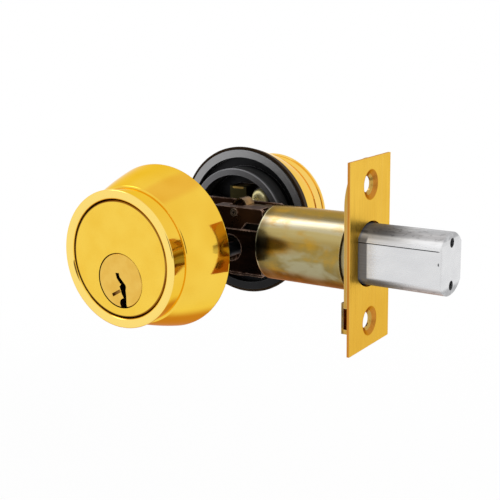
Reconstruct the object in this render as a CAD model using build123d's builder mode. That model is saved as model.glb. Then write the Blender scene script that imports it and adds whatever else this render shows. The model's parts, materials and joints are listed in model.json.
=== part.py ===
"""Double-cylinder tubular deadbolt: two keyed cylinder units and the latch between them.

The origin is where the axis of the door's cross bore (Y) meets the axis of the latch bore (X).
+X points to the door's edge, +Z up, and the outer face of the door is toward -Y.
The bolt is thrown. All sizes are in millimetres.
"""
from build123d import *
import math
import os

# ---------------------------------------------------------------- driving dimensions
door_thickness = 44.45  # the two mounting rings stand on the door's faces
backset = 60.3  # door edge to the cross bore's axis
throw = 25.4  # travel of the bolt
running = 0.05  # radial clearance of a turning fit

# mounting ring and collar: depths are measured along Y from the middle of the door
door_face = door_thickness / 2
rim_r, rim_inner_r, rim_t = 24.5, 21.95, 1.2
ring_back_r, ring_back = 21.8, door_face + 5.6
boss_r, boss_inner_r, boss_height = 18.7, 16.5, 4.6
channel_floor = door_face + 3.0
collar_edge, collar_edge_r = door_face + 0.2, 25.3
collar_max_r, collar_land = 25.5, door_face + 0.7  # the collar is widest up to here
cone_crown = 110.0  # radius of the cone's slight outward curve
shoulder, shoulder_r, band_r = 36.9, 21.1, 20.45  # the cone ends in a rounded shoulder at the band
lip_r, lip_back = 20.8, 42.0
collar_bore_r = 24.65  # bored out at the edge, so the ring's rim fits inside
collar_wall, cone_wall, cone_inner_end = 1.5, 1.2, 36.0
collar_front, lip_inner_r, lip_face_inner_r, lip_face_r = 43.5, 17.9, 18.7, 20.2

# cylinder and key plug
face_depth = 42.7  # the plane of the cylinder's visible face
disc_r, disc_t = 17.55, 2.2
shelf_inner_r, shelf_t, shelf_play = 15.95, 1.6, 0.2  # the disc holds the collar by this shelf
plug_z = -6.5  # the plug's axis below the cross bore's axis
plug_r, plug_face_r, plug_face_t = 6.4, 8.15, 2.3
plug_gap = 0.25  # between the plug's face and the cylinder, seen as a dark ring
shell_r, shell_back = 9.2, 19.4  # barrel around the plug
chamber_half_w, chamber_top = 3.3, 12.4  # block that holds the pin chambers
ear_r, ear_t = 3.2, 2.5
plug_back, blade_slot_depth = 17.6, 2.4
clip_groove_r, clip_r, clip_t = 5.4, 7.6, 0.7

# pins
pin_r, chamber_r, pin_pitch, first_pin = 1.45, 1.5, 3.9, 37.5
key_pin_lengths = (3.4, 4.2, 3.0, 4.6, 3.8)
key_pin_top, driver_bottom, driver_length = 6.15, 6.5, 4.0  # above the plug's axis
chamber_floor = -0.8  # above the plug's axis
spring_r, spring_wire_r, spring_turns = 1.15, 0.2, 8
cover_t, cover_w = 0.8, 4.4

# screws
mount_x, mount_z = 13.2, -3.4
mount_screw_r, mount_head_r, mount_head_t = 2.1, 3.1, 2.0
mount_screw_end = 26.4
ring_screw_places = ((-8.6, 9.0), (12.4, 4.4))  # unequal, so the ring fits one way only
ring_screw_r, ring_head_r, ring_head_t, ring_post_face = 1.5, 3.1, 2.0, 20.4

# latch case, tube and plates
case_half_w, sheet = 6.2, 1.0
case_top, case_bottom, case_back, case_front = 11.0, -10.6, -15.4, 26.6
tongue_end, tongue_half_h = 29.4, 8.1
case_hole_r, case_hole_places = 4.2, ((14.3, -2.1), (-14.3, -2.1))
spacer_r, spacer_places = 1.3, ((7.2, -8.2), (-10.5, -8.4))
spring_rivet_place, spring_rivet_r, nose_x = (16.2, 9.4), 0.95, 14.8
tube_r, tube_wall, tube_back, tube_front = 11.65, 0.9, 27.0, backset - 4.2
plate_w, plate_h, plate_t = 25.4, 57.15, 0.9
backing_h, backing_t = 56.8, 1.0
plate_screw_spacing, plate_screw_r = 41.3, 2.4
plate_sink_r, plate_sink_angle = 4.35, 54
sleeve_inner_r = 9.75

# bolt, its tail and the cam that drives it
bolt_r, bolt_half_w, bolt_ledge_z = 9.2, 7.2, 5.1
bolt_back = 56.0
rod_r, rod_z = 1.55, 6.2
half_turn = math.radians(55)  # the cam swings this far each side of upright
cam_r = throw / 2 / math.sin(half_turn)
journal_r, hub_r, arm_root_r, arm_tip_r, arm_half_t = 3.0, 4.3, 2.6, 2.3, 1.7
drive_pin_r, slot_play = 1.4, 0.95
tail_half_w, tail_sheet = 4.6, 1.2
blade_h, blade_t = 4.0, 1.5
tail_rivet_places = ((42.5, 3.2), (50.5, 3.2))

os.makedirs("parts", exist_ok=True)


def save(part, node):
    """Write one piece as the node of that name."""
    part.label = node
    export_step(part, f"parts/{node}.step")


def face_plane(side, depth, z=0.0):
    """Plane square to the cross bore, seen from outside the door on that side."""
    return Plane(origin=(0, side * depth, z), x_dir=(-side, 0, 0), z_dir=(0, side, 0))


def half_section(side):
    """Plane through the cross bore's axis: local x is the radius, local y the depth."""
    return Plane(origin=(0, 0, 0), x_dir=(1, 0, 0), z_dir=(0, 0, side))


# ---------------------------------------------------------------- cylinder units
def collar(side):
    """Tapered collar with a front band, a lip and an inner shelf; it turns freely."""
    cone_length, cone_rise = shoulder - collar_land, collar_max_r - shoulder_r
    half_bend = math.asin(math.hypot(cone_length, cone_rise) / (2 * cone_crown))
    end_slope = math.atan2(cone_rise, cone_length) + half_bend
    shoulder_edge_r = (shoulder_r - band_r) / math.cos(end_slope)
    band_start = shoulder + shoulder_edge_r * (1 - math.sin(end_slope))
    bore_end = door_face + rim_t + 0.15
    inner_r, thick_from = lip_r - collar_wall, bore_end + 2.4
    thick_r = collar_max_r - cone_wall - (thick_from - collar_land) * cone_rise / cone_length
    shelf_front = face_depth - disc_t - shelf_play
    shelf_back = shelf_front - shelf_t
    with BuildPart() as part:
        with BuildSketch(half_section(side)):
            with BuildLine():
                Line((collar_bore_r, collar_edge), (collar_edge_r, collar_edge))
                RadiusArc((collar_edge_r, collar_edge), (collar_max_r, collar_edge + 0.2), -0.2)
                Line((collar_max_r, collar_edge + 0.2), (collar_max_r, collar_land))
                RadiusArc((collar_max_r, collar_land), (shoulder_r, shoulder), -cone_crown)
                RadiusArc((shoulder_r, shoulder), (band_r, band_start), -shoulder_edge_r)
                Polyline((band_r, band_start), (band_r, lip_back), (lip_r, lip_back + 0.1),
                         (lip_r, collar_front - 0.6))
                RadiusArc((lip_r, collar_front - 0.6), (lip_face_r, collar_front), -0.6)
                Line((lip_face_r, collar_front), (lip_face_inner_r, collar_front))
                RadiusArc((lip_face_inner_r, collar_front), (lip_inner_r, face_depth - 0.05), -1.2)
                Polyline((lip_inner_r, face_depth - 0.05), (lip_inner_r, shelf_front),
                         (shelf_inner_r, shelf_front), (shelf_inner_r, shelf_back),
                         (inner_r, shelf_back), (inner_r, cone_inner_end),
                         (thick_r, thick_from), (collar_bore_r, bore_end),
                         (collar_bore_r, collar_edge))
            make_face()
        revolve(axis=Axis.Y)
    return part.part


def cylinder(side):
    """Face disc, barrel, pin-chamber block and the ears that the ring is screwed to."""
    disc_back = face_depth - disc_t
    with BuildPart() as part:
        with BuildSketch(face_plane(side, face_depth)):
            Circle(disc_r)
        extrude(amount=-disc_t)
        chamfer(part.faces().filter_by(Axis.Y).sort_by(Axis.Y)[-1 if side > 0 else 0].edges(), 0.2)
        with BuildSketch(face_plane(side, disc_back)):
            with Locations((0, plug_z)):
                Circle(shell_r)
            with Locations((0, (chamber_top + plug_z) / 2)):
                Rectangle(2 * chamber_half_w, chamber_top - plug_z)
        extrude(amount=-(disc_back - shell_back))
        with BuildSketch(face_plane(side, ring_back)):
            for x, z in ring_screw_places:
                with Locations((x, z)):
                    Circle(ear_r)
                with Locations((x / 2, z)):
                    Rectangle(abs(x), 2 * ear_r)
        extrude(amount=ear_t)
        # plug bore and the recess for the plug's face
        with BuildSketch(face_plane(side, face_depth, plug_z)):
            Circle(plug_face_r + plug_gap)
        extrude(amount=-(plug_face_t + 0.05), mode=Mode.SUBTRACT)
        with BuildSketch(face_plane(side, face_depth, plug_z)):
            Circle(plug_r + running)
        extrude(amount=-face_depth, mode=Mode.SUBTRACT)
        # pin chambers and the groove for the strip that closes them
        with BuildSketch(Plane.XY.offset(plug_z)):
            with Locations(*[(0, side * (first_pin - i * pin_pitch)) for i in range(5)]):
                Circle(chamber_r)
        extrude(amount=chamber_top - plug_z, mode=Mode.SUBTRACT)
        with BuildSketch(Plane.XY.offset(chamber_top - cover_t)):
            with Locations((0, side * (disc_back + shell_back) / 2)):
                Rectangle(cover_w, disc_back - shell_back)
        extrude(amount=cover_t, mode=Mode.SUBTRACT)
        # holes for the short screws from the ring
        with BuildSketch(face_plane(side, ring_back)):
            with Locations(*ring_screw_places):
                Circle(ring_screw_r)
        extrude(amount=ear_t, mode=Mode.SUBTRACT)
        if side > 0:  # the long screws enter from the inner face
            with BuildSketch(face_plane(side, face_depth)):
                with Locations((mount_x, mount_z), (-mount_x, mount_z)):
                    Circle(mount_screw_r + 0.2)
            extrude(amount=-disc_t, mode=Mode.SUBTRACT)
            with BuildSketch(face_plane(side, face_depth)):
                with Locations((mount_x, mount_z), (-mount_x, mount_z)):
                    Circle(mount_head_r + 0.15)
            extrude(amount=-(mount_head_t - 0.4), mode=Mode.SUBTRACT)
    return part.part


def spring_cover(side):
    disc_back = face_depth - disc_t
    with BuildPart() as part:
        with BuildSketch(Plane.XY.offset(chamber_top - cover_t)):
            with Locations((0, side * (disc_back + shell_back) / 2)):
                Rectangle(cover_w, disc_back - shell_back)
        extrude(amount=cover_t - 0.1)
    return part.part


def keyway_outline():
    """Warded slot, in the plug's own axes: a slanted top, a step, and a rounded foot."""
    Polyline((-1.8, 2.2), (-0.45, 2.3), (-0.2, 1.1), (1.1, -0.2), (1.95, -1.1), (2.1, -1.8),
             (1.9, -2.7), (2.05, -4.3), (2.0, -7.0), (2.5, -9.0), (-0.2, -9.0), (-0.2, -7.8))
    ThreePointArc((-0.2, -7.8), (-0.5, -6.6), (0.2, -5.6))
    Polyline((0.2, -5.6), (1.0, -5.1), (0.3, -4.0), (0.0, -2.9), (-0.45, -1.8), (0.2, -1.1),
             (-0.6, -0.3), (-1.35, 0.6), (-1.8, 2.2))


def plug(side):
    """Key plug: wide face, barrel with keyway and pin chambers, grooved tail with a slot."""
    keyway_back = 21.3
    with BuildPart() as part:
        with BuildSketch(face_plane(side, face_depth - 0.05, plug_z)):
            Circle(plug_face_r)
        extrude(amount=-plug_face_t)
        chamfer(part.edges().group_by(Axis.Y)[-1 if side > 0 else 0], 0.15)
        with BuildSketch(face_plane(side, face_depth - 0.05 - plug_face_t, plug_z)):
            Circle(plug_r)
        extrude(amount=-(face_depth - 0.05 - plug_face_t - plug_back))
        with BuildSketch(face_plane(side, shell_back - 0.25, plug_z)):
            Circle(plug_r)
            Circle(clip_groove_r, mode=Mode.SUBTRACT)
        extrude(amount=-clip_t, mode=Mode.SUBTRACT)
        with BuildSketch(face_plane(side, face_depth, plug_z)):
            with BuildLine():
                keyway_outline()
            make_face()
        extrude(amount=-(face_depth - keyway_back), mode=Mode.SUBTRACT)
        # a short milled groove beside the keyway
        with BuildSketch(face_plane(side, face_depth, plug_z)):
            with Locations(Location((-1.75, -3.95), 29)):
                Rectangle(3.6, 0.95)
        extrude(amount=-0.6, mode=Mode.SUBTRACT)
        with BuildSketch(Plane.XY.offset(plug_z + chamber_floor)):
            with Locations(*[(0, side * (first_pin - i * pin_pitch)) for i in range(5)]):
                Circle(chamber_r)
        extrude(amount=plug_r - chamber_floor, mode=Mode.SUBTRACT)
        with BuildSketch(face_plane(side, plug_back, plug_z)):
            Rectangle(blade_t, blade_h)
        extrude(amount=blade_slot_depth, mode=Mode.SUBTRACT)
    return part.part


def plug_clip(side):
    """Open spring ring in the plug's groove, against the back of the cylinder."""
    with BuildPart() as part:
        with BuildSketch(face_plane(side, shell_back - 0.25, plug_z)):
            Circle(clip_r)
            Circle(clip_groove_r, mode=Mode.SUBTRACT)
            with Locations((0, -clip_r)):
                Rectangle(6.0, 2 * (clip_r - 1.5), mode=Mode.SUBTRACT)
        extrude(amount=-clip_t)
    return part.part


def tailpiece(side):
    """Flat blade from the plug's slot into the cam hub."""
    blade_end = 0.7
    with BuildPart() as part:
        with BuildSketch(face_plane(side, blade_end, plug_z)):
            Rectangle(blade_t, blade_h)
        extrude(amount=plug_back + blade_slot_depth - blade_end)
    return part.part


def key_pin(side, index):
    y = side * (first_pin - index * pin_pitch)
    top = plug_z + key_pin_top
    bottom = top - key_pin_lengths[index]
    with BuildPart() as part:
        with BuildSketch(Plane(origin=(0, y, 0), x_dir=(1, 0, 0), z_dir=(0, -1, 0))):
            Polygon((0, bottom), (0.5, bottom), (pin_r, bottom + 0.9), (pin_r, top), (0, top),
                    align=None)
        revolve(axis=Axis((0, y, 0), (0, 0, 1)))
    return part.part


def driver_pin(side, index):
    y = side * (first_pin - index * pin_pitch)
    bottom = plug_z + driver_bottom
    top = bottom + driver_length
    with BuildPart() as part:
        with BuildSketch(Plane(origin=(0, y, 0), x_dir=(1, 0, 0), z_dir=(0, -1, 0))):
            Polygon((0, bottom), (1.2, bottom), (pin_r, bottom + 0.25), (pin_r, top - 0.25),
                    (1.2, top), (0, top), align=None)
        revolve(axis=Axis((0, y, 0), (0, 0, 1)))
    return part.part


def pin_springs(side):
    """One coil spring over each driver pin, up to the cover strip."""
    low = plug_z + driver_bottom + driver_length + spring_wire_r
    height = chamber_top - cover_t - spring_wire_r - low
    with BuildPart() as part:
        for i in range(5):
            y = side * (first_pin - i * pin_pitch)
            with BuildLine(Plane(origin=(0, y, low))) as coil:
                Helix(pitch=height / spring_turns, height=height, radius=spring_r)
            with BuildSketch(coil.line ^ 0):
                Circle(spring_wire_r)
            sweep(path=coil.wires()[0])
    return part.part


def ring(side):
    """Mounting ring: rim on the door, channel, boss into the cross bore, and a web behind."""
    boss_face = door_face - boss_height
    with BuildPart() as part:
        with BuildSketch(half_section(side)):
            Polygon((0, channel_floor), (boss_inner_r, channel_floor), (boss_inner_r, boss_face),
                    (boss_r - 0.3, boss_face), (boss_r, boss_face + 0.3), (boss_r, channel_floor),
                    (rim_inner_r, channel_floor), (rim_inner_r, door_face), (rim_r, door_face),
                    (rim_r, door_face + rim_t), (ring_back_r, ring_back), (0, ring_back),
                    align=None)
        revolve(axis=Axis.Y)
        # posts for the long screws and for the short ones
        with BuildSketch(face_plane(side, channel_floor)):
            with Locations((mount_x, mount_z), (-mount_x, mount_z)):
                Circle(3.9)
        extrude(amount=-(channel_floor - 19.6))
        with BuildSketch(face_plane(side, channel_floor)):
            with Locations(*ring_screw_places):
                Circle(3.4)
        extrude(amount=-(channel_floor - ring_post_face))
        # opening for the cylinder's back end
        with BuildSketch(face_plane(side, ring_back)):
            with Locations((0, plug_z)):
                Circle(shell_r + 0.15)
            with Locations((0, (chamber_top + 0.15 + plug_z) / 2)):
                Rectangle(2 * chamber_half_w + 0.3, chamber_top + 0.15 - plug_z)
        extrude(amount=-(ring_back - channel_floor), mode=Mode.SUBTRACT)
        with BuildSketch(face_plane(side, ring_back)):
            with Locations((mount_x, mount_z), (-mount_x, mount_z)):
                Circle(mount_screw_r + (0.2 if side > 0 else 0.0))
            with Locations(*ring_screw_places):
                Circle(ring_screw_r)
        extrude(amount=-(ring_back - boss_face), mode=Mode.SUBTRACT)
    return part.part


def cylinder_screws(side):
    """Two domed screws from the ring's posts into the cylinder's ears."""
    with BuildPart() as part:
        with BuildSketch(face_plane(side, ring_post_face)):
            with Locations(*ring_screw_places):
                Circle(ring_head_r)
        extrude(amount=-ring_head_t)
        outer_rims = part.edges().group_by(Axis.Y)[0 if side > 0 else -1]
        fillet(outer_rims, 1.7)
        with BuildSketch(face_plane(side, ring_post_face - ring_head_t)):
            with Locations(*ring_screw_places):
                Rectangle(2.4, 0.6)
                Rectangle(0.6, 2.4)
        extrude(amount=0.9, mode=Mode.SUBTRACT)
        with BuildSketch(face_plane(side, ring_post_face)):
            with Locations(*ring_screw_places):
                Circle(ring_screw_r)
        extrude(amount=ring_back + ear_t - ring_post_face - 0.3)
    return part.part


def mounting_screws():
    """Two long screws from the inner face through the latch case into the outer ring."""
    head_back = face_depth - (mount_head_t - 0.4)
    with BuildPart() as part:
        for x in (mount_x, -mount_x):
            with BuildSketch(face_plane(1, head_back)):
                with Locations((x, mount_z)):
                    Circle(mount_head_r)
            extrude(amount=mount_head_t)
            with BuildSketch(face_plane(1, head_back)):
                with Locations((x, mount_z)):
                    Circle(mount_screw_r)
            extrude(amount=-(head_back + mount_screw_end))
            with BuildSketch(face_plane(1, head_back + mount_head_t)):
                with Locations((x, mount_z)):
                    Rectangle(4.4, 0.9)
                    Rectangle(0.9, 4.4)
            extrude(amount=-1.2, mode=Mode.SUBTRACT)
    return part.part


# ---------------------------------------------------------------- latch
def case_plate(side):
    """Side of the latch case: hub bearing, holes for the long screws, window, and tongue."""
    outer = case_half_w
    with BuildPart() as part:
        with BuildSketch(Plane.XZ.offset(-side * (outer - sheet))):
            with BuildLine():
                FilletPolyline((case_back, case_bottom), (case_front, case_bottom),
                               (case_front, case_top), (case_back, case_top),
                               radius=1.0, close=True)
            make_face()
            with Locations(((case_front + tongue_end) / 2 - 1.0, 0)):
                Rectangle(tongue_end - case_front + 2.0, 2 * tongue_half_h)
            with Locations((0, plug_z)):
                Circle(journal_r + running, mode=Mode.SUBTRACT)
            with Locations(*case_hole_places):
                Circle(case_hole_r, mode=Mode.SUBTRACT)
            with BuildLine():
                Polyline((18.6, 4.15), (28.0, 4.15), (28.0, 6.3), (20.4, 6.3), (18.6, 4.15))
            make_face(mode=Mode.SUBTRACT)
            with Locations(*spacer_places):
                Circle(spacer_r, mode=Mode.SUBTRACT)
            if side < 0:
                with Locations(spring_rivet_place):
                    Circle(spring_rivet_r, mode=Mode.SUBTRACT)
        extrude(amount=-side * sheet)
        if side < 0:
            # pressed step along the lower half, and a flange over the top with a notch
            with BuildSketch(Plane.XZ.offset(outer)):
                with Locations((16.0, -2.95)):
                    Rectangle(20.4, 13.9)
                with Locations(case_hole_places[0]):
                    Circle(case_hole_r, mode=Mode.SUBTRACT)
                with Locations((7.2, -8.2)):
                    Circle(2.2, mode=Mode.SUBTRACT)
            extrude(amount=0.25)
            with BuildSketch(Plane.XY.offset(case_top - sheet)):
                with Locations((17.0, -(outer - sheet) + 1.9)):
                    Rectangle(17.0, 3.8)
                with Locations((nose_x, -1.4)):
                    Rectangle(2 * 2.7, 4.6, mode=Mode.SUBTRACT)
            extrude(amount=sheet)
    return part.part


def case_rivets():
    """Hollow spacer rivets that hold the case's two sides apart."""
    with BuildPart() as part:
        for x, z in spacer_places:
            with BuildSketch(Plane.XZ.offset(-case_half_w - 0.5)):
                with Locations((x, z)):
                    Circle(spacer_r)
            extrude(amount=2 * case_half_w + 1.0)
            for y in (-case_half_w - 0.5, case_half_w):
                with BuildSketch(Plane.XZ.offset(-y - 0.5)):
                    with Locations((x, z)):
                        Circle(2.0)
                extrude(amount=0.5)
            with BuildSketch(Plane.XZ.offset(-case_half_w - 0.5)):
                with Locations((x, z)):
                    Circle(0.7)
            extrude(amount=2 * case_half_w + 1.0, mode=Mode.SUBTRACT)
    return part.part


def spring_rivet():
    """Short hollow rivet through the outer side of the case."""
    with BuildPart() as part:
        with BuildSketch(Plane.XZ.offset(case_half_w - sheet)):
            with Locations(spring_rivet_place):
                Circle(spring_rivet_r)
        extrude(amount=sheet + 0.6)
        with BuildSketch(Plane.XZ.offset(case_half_w)):
            with Locations(spring_rivet_place):
                Circle(spring_rivet_r + 0.3)
        extrude(amount=0.6)
        with BuildSketch(Plane.XZ.offset(case_half_w - sheet)):
            with Locations(spring_rivet_place):
                Circle(spring_rivet_r - 0.4)
        extrude(amount=sheet + 0.6, mode=Mode.SUBTRACT)
    return part.part


def detent_spring():
    """Flat spring over the bolt tail; its rounded nose stands up through the case's notch."""
    strip_t, strip_z, nose_r = 0.45, case_top - 0.7, 2.3
    with BuildPart() as part:
        with BuildSketch(Plane.XZ.offset(-3.2)):
            with BuildLine():
                Line((25.6, strip_z), (nose_x + nose_r, strip_z))
                ThreePointArc((nose_x + nose_r, strip_z), (nose_x, strip_z + nose_r),
                              (nose_x - nose_r, strip_z))
            trace(line_width=strip_t)
        extrude(amount=4.4)
        with BuildSketch(Plane.XZ.offset(-(case_half_w - sheet))):
            with Locations((23.4, strip_z)):
                Rectangle(4.4, strip_t)
        extrude(amount=case_half_w - sheet - 3.2)
    return part.part


def cam_hub():
    """Hub with two journals, an arm for the drive pin, and a slot for the tailpieces."""
    tip = (cam_r * math.sin(half_turn), plug_z + cam_r * math.cos(half_turn))
    with BuildPart() as part:
        with BuildSketch(Plane.XZ.offset(-arm_half_t)):
            with Locations((0, plug_z)):
                Circle(arm_root_r)
            with Locations(tip):
                Circle(arm_tip_r)
            make_hull()
        extrude(amount=2 * arm_half_t)
        with BuildSketch(Plane.XZ.offset(-(case_half_w - sheet - 0.1))):
            with Locations((0, plug_z)):
                Circle(hub_r)
        extrude(amount=2 * (case_half_w - sheet - 0.1))
        with BuildSketch(Plane.XZ.offset(-case_half_w)):
            with Locations((0, plug_z)):
                Circle(journal_r)
        extrude(amount=2 * case_half_w)
        with BuildSketch(Plane.XZ.offset(-case_half_w)):
            with Locations((0, plug_z)):
                Rectangle(blade_t + 0.4, blade_h + 0.4)
            with Locations(tip):
                Circle(drive_pin_r)
        extrude(amount=2 * case_half_w, mode=Mode.SUBTRACT)
    return part.part


def drive_pin():
    tip = (cam_r * math.sin(half_turn), plug_z + cam_r * math.cos(half_turn))
    with BuildPart() as part:
        with BuildSketch(Plane.XZ.offset(-tail_half_w + 0.1)):
            with Locations(tip):
                Circle(drive_pin_r)
        extrude(amount=2 * (tail_half_w - 0.1))
    return part.part


def bolt_tail():
    """Channel behind the bolt; the drive pin works in the open slots of its two sides."""
    slot_half_w = drive_pin_r + slot_play
    pin_x, low_pin_z = throw / 2, plug_z + cam_r * math.cos(half_turn)
    back, front, low, fork_top, bar_top = 8.6, 54.0, -0.2, 9.1, 6.6
    with BuildPart() as part:
        with BuildSketch(Plane.XZ.offset(-tail_half_w)):
            with BuildLine():
                Polyline((back, low), (front, low), (front, bar_top), (21.0, bar_top),
                         (18.5, fork_top), (back + 0.9, fork_top), (back, fork_top - 0.9),
                         (back, low))
            make_face()
            slot_low = low_pin_z - drive_pin_r - 0.3
            with Locations((pin_x, (slot_low + fork_top + 1) / 2)):
                Rectangle(2 * slot_half_w, fork_top + 1 - slot_low, mode=Mode.SUBTRACT)
        extrude(amount=2 * tail_half_w)
        # hollow between the two sides, closed below only in front of the cam's sweep
        with BuildSketch(Plane.XZ.offset(-(tail_half_w - tail_sheet))):
            with BuildLine():
                Polyline((0, low - 1), (25.4, low - 1), (25.4, low + tail_sheet),
                         (front + 1, low + tail_sheet), (front + 1, fork_top + 1),
                         (0, fork_top + 1), (0, low - 1))
            make_face()
        extrude(amount=2 * (tail_half_w - tail_sheet), mode=Mode.SUBTRACT)
        with BuildSketch(Plane.XZ.offset(-tail_half_w)):
            with Locations(*tail_rivet_places):
                Circle(1.5)
        extrude(amount=2 * tail_half_w, mode=Mode.SUBTRACT)
    return part.part


def bolt_section():
    """Round bar with a flat milled on each side, up to a small ledge below the crown."""
    Circle(bolt_r)
    for sign in (1, -1):
        with Locations((sign * (bolt_half_w + 2), bolt_ledge_z - 10)):
            Rectangle(4, 20, mode=Mode.SUBTRACT)


def bolt_head():
    """Bolt with two rod holes swaged narrow at the mouth, and a stem for the tail."""
    end = backset + throw
    stem_back, stem_half_w = 39.0, tail_half_w - tail_sheet
    with BuildPart() as part:
        with BuildSketch(Plane.YZ.offset(bolt_back)):
            bolt_section()
        extrude(amount=end - bolt_back)
        chamfer(part.faces().sort_by(Axis.X)[-1].edges(), 0.35)
        with BuildSketch(Plane.YZ.offset(stem_back)):
            with Locations((0, 3.8)):
                Rectangle(2 * stem_half_w, 5.6)
        extrude(amount=bolt_back - stem_back)
        with BuildSketch(Plane.YZ.offset(bolt_back + 1.0)):
            with Locations((0, rod_z), (0, -rod_z)):
                Circle(rod_r + running)
        extrude(amount=end - bolt_back - 2.6, mode=Mode.SUBTRACT)
        with BuildSketch(Plane.YZ.offset(end - 2.0)):
            with Locations((0, rod_z), (0, -rod_z)):
                Circle(1.4)
        extrude(amount=2.0, mode=Mode.SUBTRACT)
        with BuildSketch(Plane.XZ.offset(-tail_half_w)):
            with Locations(*tail_rivet_places):
                Circle(1.5)
        extrude(amount=2 * tail_half_w, mode=Mode.SUBTRACT)
    return part.part


def saw_rod(sign):
    """Hardened rod, free to roll under a saw."""
    with BuildPart() as part:
        with BuildSketch(Plane.YZ.offset(bolt_back + 1.3)):
            with Locations((0, sign * rod_z)):
                Circle(rod_r)
        extrude(amount=backset + throw - 2.0 - bolt_back - 1.3)
    return part.part


def tail_rivets():
    with BuildPart() as part:
        for x, z in tail_rivet_places:
            with BuildSketch(Plane.XZ.offset(-tail_half_w - 0.15)):
                with Locations((x, z)):
                    Circle(1.5)
            extrude(amount=2 * tail_half_w + 0.3)
    return part.part


def latch_tube():
    with BuildPart() as part:
        with BuildSketch(Plane.YZ.offset(tube_back)):
            Circle(tube_r)
            Circle(tube_r - tube_wall, mode=Mode.SUBTRACT)
        extrude(amount=tube_front - tube_back)
        rear_rims = part.edges().filter_by(GeomType.CIRCLE).group_by(Axis.X)[0]
        fillet(rear_rims.sort_by(SortBy.RADIUS)[-1], 0.6)
    return part.part


def front_sleeve():
    """Guide sleeve from the backing plate into the tube, with a flange at its front."""
    back_of_plates = backset - plate_t - backing_t
    with BuildPart() as part:
        with BuildSketch(Plane.YZ.offset(back_of_plates - 12.0)):
            Circle(tube_r - tube_wall)
            Circle(sleeve_inner_r, mode=Mode.SUBTRACT)
        extrude(amount=12.0)
        with BuildSketch(Plane.YZ.offset(back_of_plates - 0.9)):
            Circle(tube_r - 0.25)
            Circle(sleeve_inner_r, mode=Mode.SUBTRACT)
        extrude(amount=0.9)
    return part.part


def backing_plate():
    """Round-ended plate behind the faceplate, with a pressed bridge at two of its edges."""
    back = backset - plate_t - backing_t
    bridge_y, bridge_z = plate_w / 2 - 2.0, 17.2
    with BuildPart() as part:
        with BuildSketch(Plane.YZ.offset(back)):
            SlotOverall(backing_h, plate_w, rotation=90)
            Circle(sleeve_inner_r, mode=Mode.SUBTRACT)
        extrude(amount=backing_t)
        for sign in (1, -1):
            with BuildSketch(Plane.YZ.offset(back - 1.2)):
                with Locations((sign * bridge_y, sign * bridge_z)):
                    Rectangle(2.6, 9.4)
            extrude(amount=backing_t + 1.2)
            with BuildSketch(Plane.YZ.offset(back - 0.5)):
                with Locations((sign * bridge_y, sign * bridge_z)):
                    Rectangle(6.0, 6.6)
            extrude(amount=backing_t + 0.5, mode=Mode.SUBTRACT)
        with BuildSketch(Plane.YZ.offset(back)):
            with Locations((0, plate_screw_spacing / 2), (0, -plate_screw_spacing / 2)):
                Circle(plate_screw_r)
        extrude(amount=backing_t, mode=Mode.SUBTRACT)
        sink_r = plate_sink_r - plate_t * math.tan(math.radians(plate_sink_angle))
        sink_t = (sink_r - plate_screw_r) / math.tan(math.radians(plate_sink_angle))
        with BuildSketch(Plane.YZ.offset(back + backing_t)):
            with Locations((0, plate_screw_spacing / 2), (0, -plate_screw_spacing / 2)):
                Circle(sink_r)
        extrude(amount=-sink_t, taper=plate_sink_angle, mode=Mode.SUBTRACT)
    return part.part


def faceplate():
    """Square-cornered plate at the door's edge, with the bolt's opening and two sunk holes."""
    back = backset - plate_t
    with BuildPart() as part:
        with BuildSketch(Plane.YZ.offset(back)):
            Rectangle(plate_w, plate_h)
        extrude(amount=plate_t)
        chamfer(part.faces().sort_by(Axis.X)[-1].edges(), 0.1)
        with BuildSketch(Plane.YZ.offset(back)):
            Circle(bolt_r + 0.65)
            for sign in (1, -1):
                with Locations((sign * (bolt_half_w + 0.5 + 2), 0)):
                    Rectangle(4, 20, mode=Mode.SUBTRACT)
        extrude(amount=plate_t, mode=Mode.SUBTRACT)
        with BuildSketch(Plane.YZ.offset(backset)):
            with Locations((0, plate_screw_spacing / 2), (0, -plate_screw_spacing / 2)):
                Circle(plate_sink_r)
        extrude(amount=-plate_t, taper=plate_sink_angle, mode=Mode.SUBTRACT)
    return part.part


# ---------------------------------------------------------------- write every node
for word, side in (("outer", -1), ("inner", 1)):
    unit = {
        "collar": collar, "cylinder": cylinder, "spring_cover": spring_cover, "plug": plug,
        "plug_clip": plug_clip, "tailpiece": tailpiece, "pin_springs": pin_springs,
        "ring": ring, "cylinder_screws": cylinder_screws, "case_plate": case_plate,
    }
    for name, make in unit.items():
        save(make(side), f"{word}_{name}")
    for i in range(5):
        save(key_pin(side, i), f"{word}_key_pin_{i + 1}")
        save(driver_pin(side, i), f"{word}_driver_pin_{i + 1}")

for make in (mounting_screws, case_rivets, spring_rivet, detent_spring, cam_hub, drive_pin,
             bolt_tail, bolt_head, tail_rivets, latch_tube, front_sleeve, backing_plate, faceplate):
    save(make(), make.__name__)
save(saw_rod(1), "saw_rod_upper")
save(saw_rod(-1), "saw_rod_lower")
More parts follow.
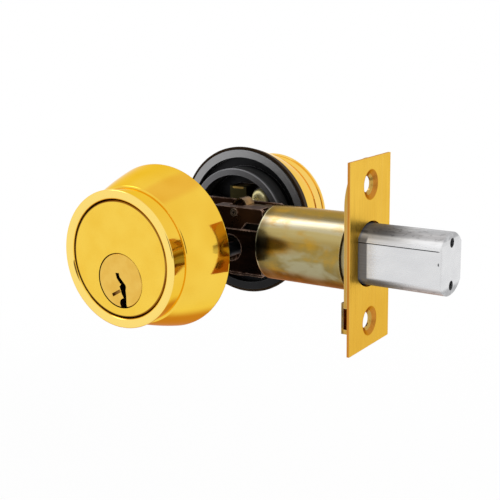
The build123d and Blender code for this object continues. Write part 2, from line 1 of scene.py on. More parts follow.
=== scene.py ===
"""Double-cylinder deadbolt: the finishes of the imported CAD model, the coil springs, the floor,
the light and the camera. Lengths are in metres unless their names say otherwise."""
import bpy
import json
import math
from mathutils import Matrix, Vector


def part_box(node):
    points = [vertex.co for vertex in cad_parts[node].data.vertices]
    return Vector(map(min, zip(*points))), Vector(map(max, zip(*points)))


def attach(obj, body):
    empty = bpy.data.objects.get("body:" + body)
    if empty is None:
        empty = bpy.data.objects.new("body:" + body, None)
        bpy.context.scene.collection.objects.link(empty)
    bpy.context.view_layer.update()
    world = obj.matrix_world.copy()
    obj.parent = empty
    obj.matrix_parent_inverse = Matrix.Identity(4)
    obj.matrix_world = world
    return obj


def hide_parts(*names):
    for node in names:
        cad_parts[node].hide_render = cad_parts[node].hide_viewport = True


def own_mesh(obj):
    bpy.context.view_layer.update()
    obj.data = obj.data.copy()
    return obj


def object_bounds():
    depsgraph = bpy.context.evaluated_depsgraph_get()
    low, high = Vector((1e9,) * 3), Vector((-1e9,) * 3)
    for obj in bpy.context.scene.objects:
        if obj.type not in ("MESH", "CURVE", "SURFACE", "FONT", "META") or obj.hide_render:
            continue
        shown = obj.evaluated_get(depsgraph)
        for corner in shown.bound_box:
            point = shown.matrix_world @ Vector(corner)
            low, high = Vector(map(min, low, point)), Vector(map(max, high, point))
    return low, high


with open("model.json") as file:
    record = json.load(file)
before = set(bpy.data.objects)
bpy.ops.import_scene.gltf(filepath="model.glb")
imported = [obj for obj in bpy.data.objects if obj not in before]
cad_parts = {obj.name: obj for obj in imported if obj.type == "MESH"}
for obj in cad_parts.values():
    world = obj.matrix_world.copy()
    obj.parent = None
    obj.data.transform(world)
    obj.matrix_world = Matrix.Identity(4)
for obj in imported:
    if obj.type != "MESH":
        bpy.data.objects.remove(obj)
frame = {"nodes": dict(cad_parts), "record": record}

cad_low, cad_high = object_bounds()
scene = bpy.context.scene

# ---------------------------------------------------------------- places the finishes use
# A depth is a distance from the door's middle plane, toward either face. The outer unit's places
# serve for the inner unit too, and a pair of numbers is where a soft border starts and ends.
collar_low, collar_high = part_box("outer_collar")
collar_edge, collar_front, collar_r = -collar_high.y, -collar_low.y, collar_high.x
cone_start, cone_end, cone_end_r = collar_edge + 0.0005, collar_front - 0.0066, 0.0211
bore_border = (0.0009, 0.0011)  # how far in from the outside of the cone
lip_start = collar_front - 0.0012
inner_extra_edge = 0.0028  # how much wider the dark edge at the door is on the inner collar
plug_low, plug_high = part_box("outer_plug")
plug_face, plug_z = -plug_low.y, (plug_low.z + plug_high.z) / 2
disc_low, disc_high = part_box("outer_cylinder")
disc_face, disc_r = -disc_low.y, disc_high.x
boss_face, rim_face = -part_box("outer_ring")[1].y, 0.022225
ring_channel = (0.0200, 0.0215)  # radii in the channel between the boss and the rim
ring_grey = (-0.019, 0.014)  # heights between which the rings turn from near black to grey
tube_low, tube_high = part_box("latch_tube")
tube_back, tube_r = tube_low.x, tube_high.z
tube_line_z = 0.0102  # height of a dark line along the tube
plate_front, plate_end_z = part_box("faceplate")[1].x, 0.0286
sink_z, sink_border = 0.02065, (0.0043, 0.0047)  # height and radii of the plate's screw sinks
bolt_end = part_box("bolt_head")[1].x
bolt_half_w, bolt_ledge = 0.0072, 0.0051  # half the width across the flats, and their top


# ---------------------------------------------------------------- writing materials
class Value:
    """A node's output, so that shader maths reads as an expression."""

    def __init__(self, owner, socket):
        self.owner, self.socket = owner, socket

    def _math(self, operation, first, second=None):
        values = {0: first} if second is None else {0: first, 1: second}
        return self.owner.node("ShaderNodeMath", {"operation": operation}, values)

    def __add__(self, other):
        return self._math("ADD", self, other)

    def __radd__(self, other):
        return self._math("ADD", other, self)

    def __sub__(self, other):
        return self._math("SUBTRACT", self, other)

    def __rsub__(self, other):
        return self._math("SUBTRACT", other, self)

    def __mul__(self, other):
        return self._math("MULTIPLY", self, other)

    def __rmul__(self, other):
        return self._math("MULTIPLY", other, self)

    def __pow__(self, other):
        return self._math("POWER", self, other)

    def __rpow__(self, other):
        return self._math("POWER", other, self)

    def larger(self, other):
        """The larger of the two."""
        return self._math("MAXIMUM", self, other)

    def size(self):
        """The value without its sign."""
        return self._math("ABSOLUTE", self)


class Nodes:
    """A node tree and the few node patterns that the finishes share."""

    def __init__(self, tree):
        self.tree = tree
        self.tree.nodes.clear()

    def feed(self, socket, value):
        """Link a node's output to a socket, or set a plain number, vector or colour on it."""
        if isinstance(value, Value):
            self.tree.links.new(value.socket, socket)
        else:
            socket.default_value = (*value, 1.0) if socket.type == "RGBA" else value

    def node(self, kind, settings=None, values=None, output=0):
        """Add a node: settings first, then the values or links of its sockets."""
        made = self.tree.nodes.new(kind)
        for name, value in (settings or {}).items():
            setattr(made, name, value)
        for name, value in (values or {}).items():
            self.feed(made.inputs[name], value)
        return None if output is None else Value(self, made.outputs[output])

    def vector(self, operation, first, second, output=0):
        """Vector maths on two vectors, each a tuple or the output of a node."""
        return self.node("ShaderNodeVectorMath", {"operation": operation},
                         {0: first, 1: second}, output)

    def span(self, value, low, high, to_low=0.0, to_high=1.0, shape="SMOOTHSTEP"):
        """Value rescaled from low..high, and held inside the new range."""
        return self.node("ShaderNodeMapRange", {"clamp": True, "interpolation_type": shape},
                         {"Value": value, "From Min": low, "From Max": high,
                          "To Min": to_low, "To Max": to_high})

    def blend(self, factor, first, second):
        """Mix two colours, each a tuple or the output of a node."""
        made = self.tree.nodes.new("ShaderNodeMix")
        made.data_type = "RGBA"
        sockets = {s.identifier: s for s in (*made.inputs, *made.outputs)}
        for name, value in (("Factor_Float", factor), ("A_Color", first), ("B_Color", second)):
            self.feed(sockets[name], value)
        return Value(self, sockets["Result_Color"])

    def ray(self, kind):
        """1 for the rays of one kind, 0 for the others."""
        return self.node("ShaderNodeLightPath", output=kind)

    def seen_directly(self):
        """1 for what the camera, the metal and clear things see, 0 for plain light."""
        camera, mirrored = self.ray("Is Camera Ray"), self.ray("Is Glossy Ray")
        through = self.ray("Is Transmission Ray")
        return camera.larger(mirrored).larger(through)


class Finish(Nodes):
    """A procedural material."""

    def __init__(self, name):
        self.material = bpy.data.materials.new(name)
        self.material.use_nodes = True
        super().__init__(self.material.node_tree)
        self.place = self.node("ShaderNodeTexCoord", output="Object")

    def axis(self, letter):
        """Distance along one of the lock's axes, in metres."""
        return self.node("ShaderNodeSeparateXYZ", values={0: self.place}, output=letter)

    def radius(self, centre_z=0.0):
        """Distance from an axis along Y."""
        x, z = self.axis("X"), self.axis("Z") - centre_z
        return (x * x + z * z) ** 0.5

    def radius_from(self, centre, scale):
        """Distance from a point, with each axis multiplied by its own scale."""
        away = self.vector("MULTIPLY", self.vector("SUBTRACT", self.place, centre), scale)
        return self.node("ShaderNodeVectorMath", {"operation": "LENGTH"}, {0: away},
                         output="Value")

    def noise(self, scale, detail=3.0, roughness=0.55, distortion=0.0):
        """Noise from 0 to 1. A tuple of three scales stretches it."""
        place = self.place
        if isinstance(scale, tuple):
            place, scale = self.vector("MULTIPLY", place, scale), 1.0
        values = {"Vector": place, "Scale": scale, "Detail": detail,
                  "Roughness": roughness, "Distortion": distortion}
        return self.node("ShaderNodeTexNoise", values=values)

    def rings(self, centre_z, per_metre):
        """Lathe marks: noise that depends only on the distance from an axis along Y."""
        return self.node("ShaderNodeTexNoise", {"noise_dimensions": "1D"},
                         {"W": self.radius(centre_z), "Scale": per_metre, "Detail": 2.0})

    def ramp(self, value, stops):
        """Colours along a value from 0 to 1: each stop is a position and a colour."""
        made = self.tree.nodes.new("ShaderNodeValToRGB")
        elements = made.color_ramp.elements
        while len(elements) < len(stops):
            elements.new(1.0)
        for element, (position, colour) in zip(elements, stops):
            element.position, element.color = position, (*colour, 1.0)
        self.feed(made.inputs["Fac"], value)
        return Value(self, made.outputs[0])

    def bump(self, height, depth, strength):
        """Relief of the given depth."""
        return self.node("ShaderNodeBump", values={"Height": height, "Distance": depth,
                                                   "Strength": strength})

    def edges(self, radius, reach=0.35):
        """Near 1 along sharp edges, where plating wears and light catches."""
        rounded = self.node("ShaderNodeBevel", {"samples": 4}, {"Radius": radius})
        plain = self.node("ShaderNodeNewGeometry", output="Normal")
        turn = self.vector("DOT_PRODUCT", rounded, plain, output="Value")
        return self.span(1.0 - turn, 0.0, reach)

    def metal(self, colour, roughness, metallic=1.0, normal=None, tint=None, coat=0.0, shine=0.5):
        """Close the material with one metal shader: tint is its colour at a glancing angle, and
        shine the reflection of the places that aren't bare metal."""
        values = {"Base Color": colour, "Roughness": roughness, "Metallic": metallic,
                  "Specular IOR Level": shine}
        if tint:
            values["Specular Tint"] = tint
        if coat:
            values.update({"Coat Weight": coat, "Coat Roughness": 0.12})
        if normal:
            values["Normal"] = normal
        return self.surface(self.node("ShaderNodeBsdfPrincipled", values=values))

    def surface(self, shader):
        """Close the material with a shader and return it."""
        self.node("ShaderNodeOutputMaterial", values={"Surface": shader}, output=None)
        return self.material


# ---------------------------------------------------------------- finishes
def polished_brass():
    """Collars: bright outside, paler on the lip, dark inside and on the edge at the door. The inner
    collar is paler, and its dark edge is wider."""
    f = Finish("polished_brass")
    depth = f.axis("Y").size()
    outside_r = f.span(depth, cone_start, cone_end, collar_r, cone_end_r, shape="LINEAR")
    behind_lip = 1.0 - f.span(depth, lip_start, lip_start + 0.0002)
    bore = f.span(outside_r - f.radius(), *bore_border) * behind_lip
    inner_side = f.span(f.axis("Y"), 0.0, 0.001)
    edge = 1.0 - f.span(depth - inner_side * inner_extra_edge,
                        collar_edge + 0.00018, collar_edge + 0.0003)
    raw = bore.larger(edge)
    drift = f.noise(55.0, detail=2.0)
    smears = f.noise((90.0, 420.0, 90.0), detail=4.0)
    lip = f.span(depth, collar_front - 0.0007, collar_front - 0.0003)
    bright = f.blend(f.span(drift, 0.35, 0.7), (0.925, 0.612, 0.075), (0.870, 0.535, 0.052))
    bright = f.blend(lip, bright, (0.975, 0.715, 0.185))
    # Painted reflection: the inner collar is made paler and more peach than the outer one.
    bright = f.blend(inner_side * 0.5, bright, (0.950, 0.670, 0.260))
    dark = f.blend(f.noise(420.0), (0.016, 0.010, 0.006), (0.034, 0.018, 0.009))
    colour = f.blend(raw, bright, dark)
    roughness = 0.065 + f.span(smears, 0.4, 0.8) * 0.035 + raw * 0.5
    relief = f.bump(f.noise(140.0, detail=2.0), 0.00003, 0.25)
    return f.metal(colour, roughness, metallic=1.0 - raw * 0.9, normal=relief,
                   tint=(0.96, 0.78, 0.40), shine=0.08)


def cylinder_brass():
    """Cylinders: smooth bright face with a red-brown rim. Behind it, dull greenish brass, darkened
    as painted shade.
    """
    f = Finish("cylinder_brass")
    face = f.span(f.axis("Y").size(), disc_face - 0.0016, disc_face - 0.0010)
    cloud = f.noise(120.0, detail=3.0)
    rim = f.span(f.radius(), disc_r - 0.00050, disc_r - 0.00034)
    bright = f.blend(f.span(cloud, 0.3, 0.75), (0.930, 0.618, 0.080), (0.900, 0.570, 0.062))
    bright = f.blend(rim * f.span(cloud, 0.2, 0.7, 0.95, 0.7), bright, (0.170, 0.036, 0.008))
    # Painted shade: the brass behind the face is darkened to the tone it has in shade.
    dull = f.blend(f.noise(500.0), (0.075, 0.066, 0.026), (0.038, 0.034, 0.016))
    colour = f.blend(face, dull, bright)
    roughness = f.span(face, 0.0, 1.0, 0.42, 0.17) + f.span(cloud, 0.4, 0.8) * 0.04
    relief = f.bump(f.noise(900.0, detail=4.0), 0.00002, 0.4)
    return f.metal(colour, roughness, normal=relief, tint=(0.93, 0.72, 0.36))


def plug_brass():
    """Key plugs: dull turned face; brown in its milled mark, painted shade in the keyway."""
    f = Finish("plug_brass")
    depth = f.axis("Y").size()
    turning = f.rings(plug_z, 9000.0)
    cloud = f.noise(260.0, detail=2.0)
    face = f.blend(f.span(cloud, 0.3, 0.7), (0.850, 0.540, 0.105), (0.800, 0.480, 0.080))
    mark = f.blend(f.span(f.axis("X").size(), 0.0005, 0.0030),
                   (0.34, 0.17, 0.035), (0.12, 0.050, 0.012))
    colour = f.blend(f.span(depth, plug_face - 0.00035, plug_face - 0.0002), mark, face)
    # Painted shade: the keyway darkens towards its depth.
    painted_keyway_shade = 1.0 - f.span(depth, plug_face - 0.0011, plug_face - 0.0007)
    colour = f.blend(painted_keyway_shade, colour, (0.014, 0.009, 0.005))
    relief = f.bump(turning, 0.00002, 0.5)
    return f.metal(colour, 0.26 + turning * 0.08 + painted_keyway_shade * 0.3, normal=relief)


def pin_brass():
    """Pins and the covers over their springs: brass with fine marks across the length."""
    f = Finish("pin_brass")
    cloud = f.noise(700.0)
    colour = f.blend(cloud, (0.66, 0.45, 0.13), (0.50, 0.33, 0.09))
    relief = f.bump(f.noise((900.0, 900.0, 14000.0)), 0.00002, 0.6)
    return f.metal(colour, 0.28 + cloud * 0.12, normal=relief)


def spring_wire():
    """Coil springs over the pins: grey wire."""
    f = Finish("spring_wire")
    cloud = f.noise(1500.0)
    return f.metal(f.blend(cloud, (0.52, 0.52, 0.53), (0.36, 0.36, 0.38)), 0.22 + cloud * 0.15)


def spring_steel():
    """Detent spring and the clips on the plugs: tempered brown, tan where they rub."""
    f = Finish("spring_steel")
    cloud = f.noise(420.0, detail=4.0)
    worn = f.edges(0.0003)
    colour = f.blend(f.span(cloud, 0.3, 0.7), (0.300, 0.170, 0.060), (0.150, 0.090, 0.040))
    colour = f.blend(worn * 0.7, colour, (0.66, 0.50, 0.28))
    return f.metal(colour, 0.24 + cloud * 0.15)


def bright_steel():
    """Tailpieces, drive pin and tail rivets: bare steel, lightly grained."""
    f = Finish("bright_steel")
    cloud = f.noise(600.0)
    colour = f.blend(cloud, (0.50, 0.50, 0.51), (0.38, 0.38, 0.40))
    relief = f.bump(f.noise(2500.0), 0.00002, 0.5)
    return f.metal(colour, 0.26 + cloud * 0.14, normal=relief)


def die_cast_zinc():
    """Mounting rings: grey skin on the faces at the door, and black down in the casting. The turn
    to near black at the bottom stands for a reflection and is painted in."""
    f = Finish("die_cast_zinc")
    depth, height = f.axis("Y").size(), f.axis("Z")
    grain, cloud = f.noise(2600.0, detail=3.0), f.noise(150.0, detail=3.0)
    worn = f.edges(0.0003)
    on_rim = f.span(depth, boss_face + 0.0006, rim_face - 0.0006)
    skin = f.blend(cloud, (0.290, 0.290, 0.294), (0.370, 0.370, 0.375))
    skin = f.blend(on_rim, f.blend(cloud, (0.110, 0.110, 0.115), (0.190, 0.190, 0.196)), skin)
    low_skin = f.blend(cloud, (0.010, 0.010, 0.011), (0.022, 0.022, 0.023))
    skin = f.blend(f.span(height, *ring_grey), low_skin, skin)
    down = f.span(depth, rim_face + 0.0001, rim_face + 0.0016)
    wall = f.span(depth, boss_face + 0.0003, boss_face + 0.0020) * 0.65
    inside = down.larger(wall * (1.0 - f.span(f.radius(), *ring_channel)))
    colour = f.blend(inside, skin, (0.012, 0.012, 0.013))
    # Pale edges, partly wear and partly painted highlight, fading towards the bottom with the
    # painted reflection.
    colour = f.blend(worn * f.span(height, *ring_grey, 0.15, 0.6), colour, (0.42, 0.42, 0.44))
    relief = f.bump(grain, 0.00004, 0.6)
    return f.metal(colour, 0.36 + cloud * 0.12, metallic=0.88, normal=relief)


def yellow_zinc_screws():
    """Cylinder screws: passivated zinc, mottled yellow, cream and grey-green."""
    f = Finish("yellow_zinc_screws")
    cloud = f.noise(500.0, detail=3.0)
    colour = f.ramp(cloud, ((0.25, (0.70, 0.54, 0.16)), (0.55, (0.86, 0.78, 0.42)),
                            (0.8, (0.52, 0.47, 0.22))))
    return f.metal(colour, 0.28 + cloud * 0.1, metallic=0.65, normal=f.bump(cloud, 0.00003, 0.4))


def dark_case():
    """Latch case: oiled brown-black steel, pinkish along the edges: wear and a painted highlight.
    """
    f = Finish("dark_case")
    cloud = f.noise((160.0, 160.0, 320.0), detail=4.0, distortion=0.6)
    worn = f.edges(0.0005, reach=0.15)
    # Pinkish edges: partly wear, partly a painted highlight.
    worn_and_highlit = f.span(f.noise(240.0, detail=2.0), 0.3, 0.6, 0.35, 1.0) * worn
    colour = f.ramp(cloud, ((0.3, (0.018, 0.008, 0.005)), (0.55, (0.046, 0.018, 0.009)),
                            (0.8, (0.110, 0.044, 0.017))))
    colour = f.blend(f.span(f.axis("Z"), 0.002, 0.008) * 0.6, colour, (0.120, 0.052, 0.024))
    colour = f.blend(worn_and_highlit, colour, (0.700, 0.460, 0.350))
    relief = f.bump(f.noise(1300.0, detail=3.0), 0.00003, 0.4)
    return f.metal(colour, 0.2 + cloud * 0.2, metallic=0.9 - worn_and_highlit * 0.5, normal=relief)


def black_oxide_screws():
    """Mounting screws: black oxide, a little paler where the edges are worn."""
    f = Finish("black_oxide_screws")
    cloud = f.noise(800.0)
    worn = f.edges(0.0003)
    colour = f.blend(worn * 0.5, f.blend(cloud, (0.012, 0.012, 0.013), (0.03, 0.03, 0.032)),
                     (0.060, 0.060, 0.062))
    return f.metal(colour, 0.35 + cloud * 0.2, metallic=0.8)


def rivet_steel():
    """Rivets of the case and its spring: brown steel, pale along the edges, partly wear and partly
    a painted highlight.
    """
    f = Finish("rivet_steel")
    cloud = f.noise(900.0)
    worn = f.edges(0.0003, reach=0.18)
    colour = f.blend(cloud, (0.150, 0.100, 0.062), (0.300, 0.205, 0.130))
    # Pale edges: partly wear, partly a painted highlight.
    colour = f.blend(worn, colour, (0.74, 0.56, 0.42))
    return f.metal(colour, 0.25 + cloud * 0.15, metallic=1.0 - worn * 0.5)


def plain_steel():
    """Cam hub and bolt tail: dark, unplated steel, paler where the edges are worn."""
    f = Finish("plain_steel")
    cloud = f.noise(350.0, detail=4.0)
    worn = f.edges(0.0003)
    colour = f.blend(cloud, (0.070, 0.064, 0.056), (0.035, 0.032, 0.028))
    colour = f.blend(worn * 0.6, colour, (0.5, 0.48, 0.44))
    relief = f.bump(f.noise(1800.0), 0.00003, 0.5)
    return f.metal(colour, 0.32 + cloud * 0.16, normal=relief)


def bolt_nickel():
    """Bolt: satin nickel flats and an as-cast crown. The dark zone next to the plate stands for a
    reflection and is painted in."""
    f = Finish("bolt_nickel")
    x, side, height = f.axis("X"), f.axis("Y").size(), f.axis("Z")
    drawn = f.noise((55.0, 2600.0, 2600.0), detail=3.0)
    cloud = f.noise((90.0, 260.0, 260.0), detail=3.0)
    streaks = f.noise((60.0, 420.0, 420.0), detail=4.0, distortion=0.4)
    pits = f.noise((620.0, 1100.0, 1100.0), detail=3.0)
    crown = f.span(height.size(), bolt_ledge + 0.0008, bolt_ledge + 0.0022)
    outward = f.span(x, plate_front, bolt_end)
    flat = f.blend(f.span(cloud, 0.3, 0.7), (0.740, 0.742, 0.750), (0.690, 0.692, 0.705))
    cast = f.ramp(streaks, ((0.25, (0.110, 0.112, 0.118)), (0.42, (0.220, 0.222, 0.230)),
                            (0.55, (0.330, 0.332, 0.340)), (0.72, (0.600, 0.602, 0.610))))
    cast = f.blend(f.span(pits, 0.54, 0.64) * 0.75, cast, (0.040, 0.040, 0.044))
    colour = f.blend(crown * f.span(outward, 0.0, 1.0, 1.0, 0.6), flat, cast)
    # Painted shade: a dark line on the upper flats, under the crown's overhang.
    painted_ledge_shade = (f.span(height, bolt_ledge - 0.00042, bolt_ledge - 0.00034)
                   * (1.0 - f.span(height, bolt_ledge - 0.00006, bolt_ledge))
                   * f.span(side, bolt_half_w - 0.00005, bolt_half_w - 0.00002)
                   * (1.0 - f.span(x, bolt_end - 0.0012, bolt_end - 0.0004)))
    # Painted highlight: a pale strip along the top of the crown, just above the ledge.
    painted_crown_highlight = crown * (1.0 - f.span(height, bolt_ledge + 0.0018, bolt_ledge + 0.0026))
    colour = f.blend(painted_crown_highlight * f.span(height, 0.0, 0.001) * 0.8, colour, (0.800, 0.802, 0.810))
    # Painted reflection: the crown darkens towards the plate.
    shade = crown * (1.0 - painted_crown_highlight * 0.7) * (1.0 - f.span(outward, 0.10, 0.65))
    colour = f.blend(shade * 0.85, colour, (0.060, 0.061, 0.066))
    # The same painted reflection below the flats, darkest next to the plate.
    below = f.span(0.0 - height, bolt_ledge, bolt_ledge + 0.0008)
    colour = f.blend(below * (1.0 - f.span(outward, 0.0, 1.0)) * 0.9, colour, (0.070, 0.071, 0.076))
    # Painted reflection: a grey strip on the flats next to the plate.
    by_plate = (1.0 - f.span(x, plate_front + 0.0023, plate_front + 0.0028)) * (1.0 - crown)
    colour = f.blend(by_plate, colour, (0.165, 0.168, 0.180))
    colour = f.blend(painted_ledge_shade, colour, (0.012, 0.012, 0.013))
    nick = f.radius_from((bolt_end - 0.0009, -bolt_half_w, 0.0012), (1.0, 1.0, 0.45))
    colour = f.blend(1.0 - f.span(nick, 0.0001, 0.0003), colour, (0.05, 0.05, 0.055))
    relief = f.bump(drawn, 0.00003, 0.4)
    roughness = 0.24 + f.span(drawn, 0.2, 0.8) * 0.08 + crown * 0.12
    dull = 1.0 - f.span(x, plate_front + 0.0028, plate_front + 0.0065)
    rounded = f.span(height.size(), bolt_ledge, bolt_ledge + 0.0002)
    dull = dull.larger(rounded * (1.0 - f.span(outward, 0.3, 1.0))).larger(painted_ledge_shade)
    return f.metal(colour, roughness, metallic=1.0 - dull * 0.92, normal=relief, shine=0.1)


def yellow_zinc_tube():
    """Tube and backing plate: passivated zinc, olive-brown with soft grey and amber clouds. Part
    of the tones by height stand for reflections and are painted in."""
    f = Finish("yellow_zinc_tube")
    x, height = f.axis("X"), f.axis("Z")
    bands = f.noise((30.0, 420.0, 420.0), detail=5.0, distortion=0.5)
    clouds = f.noise((95.0, 150.0, 150.0), detail=3.0, roughness=0.5, distortion=0.3)
    specks = f.noise((260.0, 420.0, 420.0), detail=4.0)
    # Tones by height: the pale band near the top is a painted highlight, and the darker top and
    # bottom painted reflections.
    level = f.span(height, -tube_r, tube_r, shape="LINEAR") + (bands - 0.5) * 0.16
    colour = f.ramp(level, ((0.04, (0.130, 0.072, 0.012)), (0.22, (0.200, 0.135, 0.032)),
                            (0.46, (0.300, 0.225, 0.065)), (0.62, (0.300, 0.195, 0.032)),
                            (0.76, (0.480, 0.380, 0.150)), (0.88, (0.520, 0.490, 0.380)),
                            (0.955, (0.300, 0.200, 0.040))))
    grey = f.span(clouds, 0.46, 0.66) * (1.0 - f.span(height, 0.002, 0.005))
    amber = f.span(specks * 0.35 + (1.0 - clouds) * 0.65, 0.46, 0.66)
    colour = f.blend(grey * 0.6, colour, (0.440, 0.420, 0.270))
    colour = f.blend(amber * 0.75, colour, (0.480, 0.260, 0.014))
    # Painted reflection: a dark wedge low on the front, near the back end.
    painted_dark_reflection = f.radius_from((tube_back + 0.0050, -tube_r, 0.0022), (0.30, 0.3, 1.0))
    colour = f.blend(1.0 - f.span(painted_dark_reflection, 0.0012, 0.0028, 0.1, 1.0), colour, (0.050, 0.034, 0.010))
    dark_line = (1.0 - f.span((height - tube_line_z).size(), 0.0002, 0.0009)) * 0.45
    colour = f.blend(dark_line, colour, (0.150, 0.130, 0.070))
    behind_plate = f.span(x, plate_front - 0.0025, plate_front - 0.0022)
    colour = f.blend(behind_plate * 0.85, colour, (0.560, 0.330, 0.055))
    # Painted reflection: the tube darkens towards its back end.
    start = 1.0 - f.span(x, tube_back + 0.0012, tube_back + 0.0045)
    colour = f.blend(start * 0.6, colour, (0.080, 0.055, 0.016))
    # Painted highlight: a pale line along the back rim.
    rim = 1.0 - f.span(x, tube_back + 0.0005, tube_back + 0.0009)
    colour = f.blend(rim * 0.85, colour, (0.560, 0.540, 0.360))
    worn = f.edges(0.0004)
    colour = f.blend(worn * 0.5, colour, (0.720, 0.640, 0.420))
    relief = f.bump(f.noise((70.0, 2600.0, 2600.0)), 0.00003, 0.25)
    return f.metal(colour, 0.15 + bands * 0.10, normal=relief, tint=(0.78, 0.58, 0.30), coat=0.3)


def guide_sleeve():
    """Guide sleeve: grey-yellow where it shows behind the plate, painted shade at the tube."""
    f = Finish("guide_sleeve")
    cloud = f.noise(600.0)
    shown = f.span(f.axis("X"), plate_front - 0.0041, plate_front - 0.0037)
    # Painted shade: dark where the sleeve sits in the tube.
    colour = f.blend(shown, f.blend(cloud, (0.012, 0.009, 0.008), (0.024, 0.018, 0.014)),
                     f.blend(cloud, (0.460, 0.400, 0.230), (0.340, 0.290, 0.150)))
    return f.metal(colour, 0.34 + cloud * 0.12, metallic=0.6)


def satin_brass():
    """Faceplate: brushed along its length, copper-brown on its cut edges and in the sinks."""
    f = Finish("satin_brass")
    x, side, height = f.axis("X"), f.axis("Y"), f.axis("Z")
    brushed = f.noise((3800.0, 3800.0, 45.0), detail=4.0)
    streaks = f.noise((500.0, 500.0, 18.0), detail=3.0)
    cloud = f.noise(70.0, detail=2.0)
    cut = 1.0 - f.span(x, plate_front - 0.00022, plate_front - 0.00008)
    above_screw = height.size() - sink_z
    from_screw = (side * side + above_screw * above_screw) ** 0.5
    sink = 1.0 - f.span(from_screw, *sink_border)
    colour = f.blend(f.span(cloud, 0.3, 0.7), (0.910, 0.590, 0.105), (0.850, 0.530, 0.090))
    colour = f.blend(f.span(brushed, 0.45, 0.7) * 0.3, colour, (0.62, 0.36, 0.05))
    colour = f.blend(f.span(streaks, 0.5, 0.75) * 0.25, colour, (0.90, 0.61, 0.15))
    # Painted shade: the plate turns darker and browner towards the bottom.
    toward_bottom = f.span(height, -plate_end_z, plate_end_z, 0.45, 0.0)
    colour = f.blend(toward_bottom, colour, (0.70, 0.38, 0.055))
    copper = f.blend(brushed, (0.640, 0.270, 0.040), (0.460, 0.170, 0.022))
    colour = f.blend(cut.larger(sink), colour, copper)
    relief = f.bump(brushed, 0.00003, 0.5)
    return f.metal(colour, 0.26 + f.span(brushed, 0.3, 0.7) * 0.12, normal=relief,
                   tint=(0.93, 0.72, 0.36))


def hardened_steel():
    """Saw rods in the bolt: nearly black hardened steel."""
    f = Finish("hardened_steel")
    cloud = f.noise(900.0)
    colour = f.blend(cloud, (0.020, 0.020, 0.022), (0.050, 0.050, 0.053))
    return f.metal(colour, 0.35 + cloud * 0.15)


finishes = {make.__name__: make() for make in (
    polished_brass, cylinder_brass, plug_brass, pin_brass, spring_wire, spring_steel, bright_steel,
    die_cast_zinc, yellow_zinc_screws, dark_case, black_oxide_screws, rivet_steel, plain_steel,
    bolt_nickel, yellow_zinc_tube, guide_sleeve, satin_brass, hardened_steel)}
for part in frame["record"]["subparts"]:
    node = frame["nodes"][part["node"]]
    node.data.materials.clear()
    node.data.materials.append(finishes[part["material_slot"]])


def coil_springs(unit):
    """The coil springs over the driver pins: their mesh copied to an object of its own and attached
    to the lock's frame in place of the part.
    """
    node = f"{unit}_pin_springs"
    springs = bpy.data.objects.new(f"{node}_coiled", frame["nodes"][node].data.copy())
    scene.collection.objects.link(springs)
    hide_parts(node)
    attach(springs, "lock_frame")
    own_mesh(springs)


for unit in ("outer", "inner"):
    coil_springs(unit)


# ---------------------------------------------------------------- floor, light and camera
# Soft patches of the world that only the metal sees: the direction of the middle, the cosines of
# the angles from it at the border and where the patch is full, and its colour.
world_patches = (((-0.04, 0.32, 0.947), 0.93, 0.985, (0.93, 0.80, 0.73)),
                 ((0.85, -0.50, 0.15), 0.89, 0.975, (0.16, 0.10, 0.08)),
                 ((-0.585, -0.06, 0.809), 0.965, 0.996, (2.9, 2.9, 2.9)))
world_light = 0.55
floor_drop, floor_half = 0.115, 6.0
floor_white = (0.15, 0.45, 0.80, 1.0)  # distances from the middle, and how white there
warm_middle, warm_border = (-0.16, 0.13), (0.16, 0.215)
softboxes = (("key", (-0.55, -0.12, 0.98), (1.0, 0.5), 4.5),  # name, place, size, watts
             ("fill", (0.95, -0.55, 0.35), (0.7, 0.7), 4.0),
             ("back", (0.3, 0.9, 0.8), (0.6, 0.6), 4.0))
camera_place, camera_degrees = (0.18775, -0.25203, 0.06832), (76.635, 0.981, 33.801)
sensor_mm, focal_mm = 36.0, 70.41


def studio_world():
    """White for what the camera and the metal see, with two soft darker patches and a soft
    bright one for the metal alone, and a plain level of light elsewhere."""
    world = bpy.data.worlds.new("studio")
    world.use_nodes = True
    n = Nodes(world.node_tree)
    direction = n.node("ShaderNodeTexCoord", output="Generated")
    mirrored = n.ray("Is Glossy Ray")
    colour = (1.0, 1.0, 1.0)
    for toward, border, full, patch in world_patches:
        facing = n.vector("DOT_PRODUCT", direction, toward, output="Value")
        colour = n.blend(n.span(facing, border, full) * mirrored, colour, patch)
    level = n.span(n.seen_directly(), 0.0, 1.0, world_light, 1.0)
    sky = n.node("ShaderNodeBackground", values={"Color": colour, "Strength": level})
    n.node("ShaderNodeOutputWorld", values={"Surface": sky}, output=None)
    scene.world = world


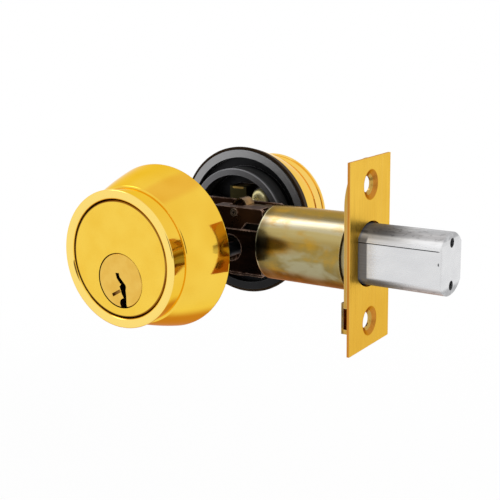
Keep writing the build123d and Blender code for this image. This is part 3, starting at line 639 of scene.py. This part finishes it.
def softbox(name, place, aim, size, watts):
    """A wide lamp that doesn't show as a reflection in the metal."""
    light = bpy.data.lights.new(name, "AREA")
    light.shape, light.energy = "RECTANGLE", watts
    light.size, light.size_y = size
    lamp = bpy.data.objects.new(name, light)
    lamp.location = place
    lamp.rotation_euler = (Vector(aim) - Vector(place)).to_track_quat("-Z", "Y").to_euler()
    lamp.visible_glossy = False
    scene.collection.objects.link(lamp)


def floor(height, half):
    """Pale floor that turns pure white away from the lock, so that no horizon shows. The metal
    alone sees a soft warm patch on it, behind the lock."""
    mesh = bpy.data.meshes.new("floor")
    mesh.from_pydata([(-half, -half, height), (half, -half, height), (half, half, height),
                      (-half, half, height)], [], [(0, 1, 2, 3)])
    ground = bpy.data.objects.new("floor", mesh)
    f = Finish("floor_paper")
    flat = (1.0, 1.0, 0.0)
    shade = f.node("ShaderNodeBsdfDiffuse", values={"Color": (0.93, 0.93, 0.93)})
    glow = f.node("ShaderNodeEmission", values={"Color": (1.0, 1.0, 1.0), "Strength": 1.0})
    away = f.radius_from((0.0, 0.0, height), flat)
    lit = f.node("ShaderNodeMixShader", values={
        "Fac": f.seen_directly() * f.span(away, *floor_white), 1: shade, 2: glow})
    warm = f.node("ShaderNodeEmission", values={"Color": (0.62, 0.30, 0.16)})
    from_patch = f.radius_from((*warm_middle, height), flat)
    f.surface(f.node("ShaderNodeMixShader", values={
        "Fac": f.ray("Is Glossy Ray") * f.span(from_patch, *warm_border, 0.9, 0.0),
        1: lit, 2: warm}))
    mesh.materials.append(f.material)
    scene.collection.objects.link(ground)


def camera():
    """The camera, without shift or depth of field."""
    lens = bpy.data.cameras.new("camera")
    lens.sensor_width, lens.lens = sensor_mm, focal_mm
    lens.clip_start, lens.clip_end = 0.01, 20.0
    viewer = bpy.data.objects.new("camera", lens)
    viewer.location = camera_place
    viewer.rotation_euler = [math.radians(angle) for angle in camera_degrees]
    scene.collection.objects.link(viewer)
    scene.camera = viewer


studio_world()
floor(cad_low.z - floor_drop, floor_half)
middle = (cad_low + cad_high) / 2
for name, place, size, watts in softboxes:
    softbox(name, place, middle, size, watts)
camera()

scene.view_settings.view_transform = "Standard"
